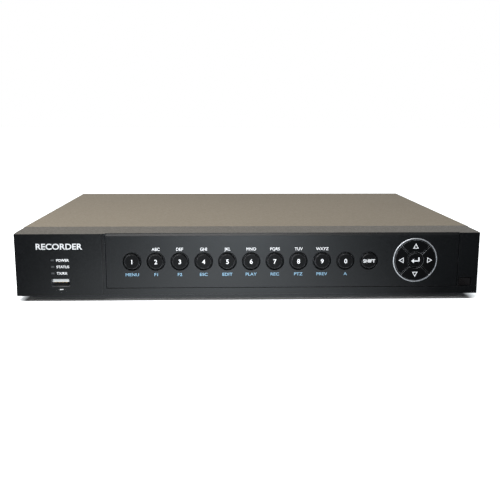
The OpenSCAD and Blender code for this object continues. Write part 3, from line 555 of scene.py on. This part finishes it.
mounts = {m["name"]: Vector(m["pos_m"]) for m in frame["record"]["mounts"]}
VIDEO_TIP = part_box("bnc_jacks")[1].y
AUDIO_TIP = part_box("audio_jacks")[1].y
VIDEO_PIN = (5 * MM, 1.2 * MM, 0.68 * MM, 0.4 * MM)
AUDIO_PIN = (7 * MM, 1.1 * MM, 1.6 * MM, 1.25 * MM)
for name, spot in sorted(mounts.items()):
    if name.startswith("video_"):
        tube(name + "_pin", spot, VIDEO_TIP, *VIDEO_PIN)
    if name.startswith("audio_"):
        tube(name + "_pin", spot, AUDIO_TIP, *AUDIO_PIN)

VIDEO_INPUTS = 8
NUMBER_ASIDE, NUMBER_UP = 8.2 * MM, 4.5 * MM
for number in range(1, VIDEO_INPUTS + 1):
    spot = mounts["video_in_%d" % number]
    lettering("video_number_%d" % number, str(number), (spot.x - NUMBER_ASIDE, PANEL, spot.z + NUMBER_UP),
              NUMBER_STYLE, MATERIALS["black_plastic"], back=True)


# ---------- floor, light and camera ----------
# floor as a source of light: its paleness in front of the recorder and from PALER_AT metres on behind it,
# and the middle, radius and strength of its bright patch
FLOOR_DARK, FLOOR_BRIGHT, PALER_AT = 0.06, 0.6, 0.25
PATCH = (-0.02, FRONT - 0.06, 0.0)
PATCH_REACH, PATCH_GLOW = 0.16, 3.0
PATCH_TINT = (0.92, 0.97, 1, 1)
# floor to the camera: paper that glows from just inside the ends of the CAD box and from just outside its
# front and back, and a painted shadow band under the front that begins and ends at these places; all in
# metres
PAPER, SHADOW = 0.95, 0.14
BESIDE_FADE, BEFORE_FADE = (-0.008, 0.0), (0.001, 0.004)
SHADOW_FROM, SHADOW_TO = (FRONT - 0.003, FRONT - 0.002), (FRONT + 0.002, FRONT + 0.005)
FLOOR_REACH = 6.0


def floor():
    """White paper to the camera, with a narrow painted shadow under the case. As a source of light it is
    dim in front of the recorder, except for a bright patch that the glossy front mirrors, and paler behind
    it."""
    mesh = bpy.data.meshes.new("floor")
    corners = [(FLOOR_REACH * x, FLOOR_REACH * y, 0) for x, y in ((-1, -1), (1, -1), (1, 1), (-1, 1))]
    mesh.from_pydata(corners, [], [(0, 1, 2, 3)])
    obj = bpy.data.objects.new("floor", mesh)
    scene.collection.objects.link(obj)
    paint = Paint("floor_paper", (FLOOR_DARK, FLOOR_DARK, FLOOR_DARK), 0.9, specular=0.0)
    new = paint.tree.nodes.new
    paint.bump(paint.noise(300.0, 2.0), 0.00005)

    def vector(operation, a, b=None):
        node = new("ShaderNodeVectorMath")
        node.operation = operation
        paint.link(a, node.inputs[0])
        if b is not None:
            node.inputs[1].default_value = b
        return node

    def number(operation, a, b):
        node = new("ShaderNodeMath")
        node.operation = operation
        paint.link(a, node.inputs[0])
        paint.link(b, node.inputs[1])
        return node.outputs[0]

    def parts(a):
        node = new("ShaderNodeSeparateXYZ")
        paint.link(a, node.inputs[0])
        return node.outputs

    def opposite(a):
        return paint.spread(a, 0.0, 1.0, 1.0, 0.0)

    seen = new("ShaderNodeLightPath").outputs["Is Camera Ray"]
    along_y = parts(paint.place)["Y"]
    paint.blend(paint.spread(along_y, 0.0, PALER_AT, 0.0, 1.0), (FLOOR_BRIGHT, FLOOR_BRIGHT, FLOOR_BRIGHT))
    # the CAD box is centred, so its upper corner stands for all four sides
    mirrored = vector("ABSOLUTE", paint.place).outputs["Vector"]
    outside = parts(vector("SUBTRACT", mirrored, cad_box[1]).outputs["Vector"])
    beside = paint.spread(outside["X"], *BESIDE_FADE, 0.0, 1.0)
    before = paint.spread(outside["Y"], *BEFORE_FADE, 0.0, 1.0)
    to_camera = number("MULTIPLY", number("MAXIMUM", beside, before), seen)
    paint.blend(seen, (PAPER, PAPER, PAPER))
    fade_in = paint.spread(along_y, *SHADOW_FROM, 0.0, 1.0)
    fade_out = paint.spread(along_y, *SHADOW_TO, 1.0, 0.0)
    # painted shadow: to the camera the paper is darkened to SHADOW in a band under the front edge
    painted_shadow_band = number("MULTIPLY", number("MULTIPLY", fade_in, fade_out), opposite(to_camera))
    paint.blend(number("MULTIPLY", painted_shadow_band, seen), (SHADOW, SHADOW, SHADOW))
    from_patch = vector("DISTANCE", paint.place, PATCH).outputs["Value"]
    patch = paint.spread(from_patch, 0.0, PATCH_REACH, PATCH_GLOW, 0.0)
    to_front = number("MULTIPLY", patch, opposite(seen))
    paint.shader.inputs["Emission Color"].default_value = PATCH_TINT
    paint.link(number("ADD", to_camera, to_front), paint.shader.inputs["Emission Strength"])
    mesh.materials.append(paint.material)


def soft_box(name, at, aim, size, power, colour=(1, 1, 1)):
    """A rectangular light at one place, aimed at another; metres and watts."""
    light = bpy.data.lights.new(name, "AREA")
    light.shape = "RECTANGLE"
    light.size, light.size_y = size
    light.energy = power
    light.color = colour
    obj = bpy.data.objects.new(name, light)
    scene.collection.objects.link(obj)
    obj.location = at
    obj.rotation_euler = (Vector(aim) - Vector(at)).to_track_quat("-Z", "Y").to_euler()


# the room is dim and cool in front of the recorder, bright and warm towards BRIGHT_WAY, and fully bright
# from the cosine BRIGHT_FROM on
ROOM_DIM, ROOM_BRIGHT = 0.13, 0.93
ROOM_COOL, ROOM_WARM = (0.93, 0.97, 1, 1), (1, 0.93, 0.82, 1)
BRIGHT_WAY = (-0.3, 0.95, 0.0)
BRIGHT_FROM = 0.95


def surroundings():
    """White to the camera. For everything else, a room that is bright behind and to the left."""
    world = bpy.data.worlds.new("studio")
    scene.world = world
    world.use_nodes = True
    tree = world.node_tree
    tree.nodes.clear()
    seen, room = tree.nodes.new("ShaderNodeBackground"), tree.nodes.new("ShaderNodeBackground")
    seen.inputs["Color"].default_value = (1, 1, 1, 1)
    way, along = tree.nodes.new("ShaderNodeTexCoord"), tree.nodes.new("ShaderNodeVectorMath")
    along.operation = "DOT_PRODUCT"
    along.inputs[1].default_value = BRIGHT_WAY
    tree.links.new(way.outputs["Generated"], along.inputs[0])
    strength = map_range(tree, along.outputs["Value"], 0.0, BRIGHT_FROM, ROOM_DIM, ROOM_BRIGHT)
    tree.links.new(strength, room.inputs["Strength"])
    tint = tree.nodes.new("ShaderNodeMix")
    tint.data_type = "RGBA"
    tint.inputs[6].default_value, tint.inputs[7].default_value = ROOM_COOL, ROOM_WARM
    tree.links.new(along.outputs["Value"], tint.inputs[0])
    tree.links.new(tint.outputs[2], room.inputs["Color"])
    path, mix = tree.nodes.new("ShaderNodeLightPath"), tree.nodes.new("ShaderNodeMixShader")
    tree.links.new(path.outputs["Is Camera Ray"], mix.inputs[0])
    tree.links.new(room.outputs[0], mix.inputs[1])
    tree.links.new(seen.outputs[0], mix.inputs[2])
    out = tree.nodes.new("ShaderNodeOutputWorld")
    tree.links.new(mix.outputs[0], out.inputs[0])


CAMERA_AT = Vector((-0.0174, FRONT - 0.4614, 0.1219))
YAW, PITCH, ROLL = math.radians(2.17), math.radians(10.81), math.radians(0.17)
LENS_MM, SENSOR_MM = 50.77, 36.0


def camera():
    """Looks from the front, a little to the right, downwards, and with a slight roll."""
    data = bpy.data.cameras.new("camera")
    data.lens, data.sensor_width = LENS_MM, SENSOR_MM
    obj = bpy.data.objects.new("camera", data)
    scene.collection.objects.link(obj)
    ahead = Vector((math.sin(YAW) * math.cos(PITCH), math.cos(YAW) * math.cos(PITCH), -math.sin(PITCH)))
    right = Vector((math.cos(YAW), -math.sin(YAW), 0))
    up = right.cross(ahead)
    rolled_right = right * math.cos(ROLL) + up * math.sin(ROLL)
    rolled_up = up * math.cos(ROLL) - right * math.sin(ROLL)
    turn = Matrix((rolled_right, rolled_up, -ahead)).transposed().to_4x4()
    obj.matrix_world = Matrix.Translation(CAMERA_AT) @ turn
    scene.camera = obj


floor()
surroundings()
soft_box("overhead", (-0.35, -0.42, 0.53), (-0.07, -0.08, 0), (0.5, 0.45), 4.9)
soft_box("above_front", (-0.02, FRONT - 0.15, 0.8), (-0.02, FRONT, 0.02), (0.24, 0.3), 1.9)
soft_box("low_front", (0.0, FRONT - 0.5, 0.026), (-0.01, FRONT, 0.02), (0.14, 0.03), 0.75, (0.84, 0.93, 1))
camera()
scene.view_settings.view_transform = "Standard"
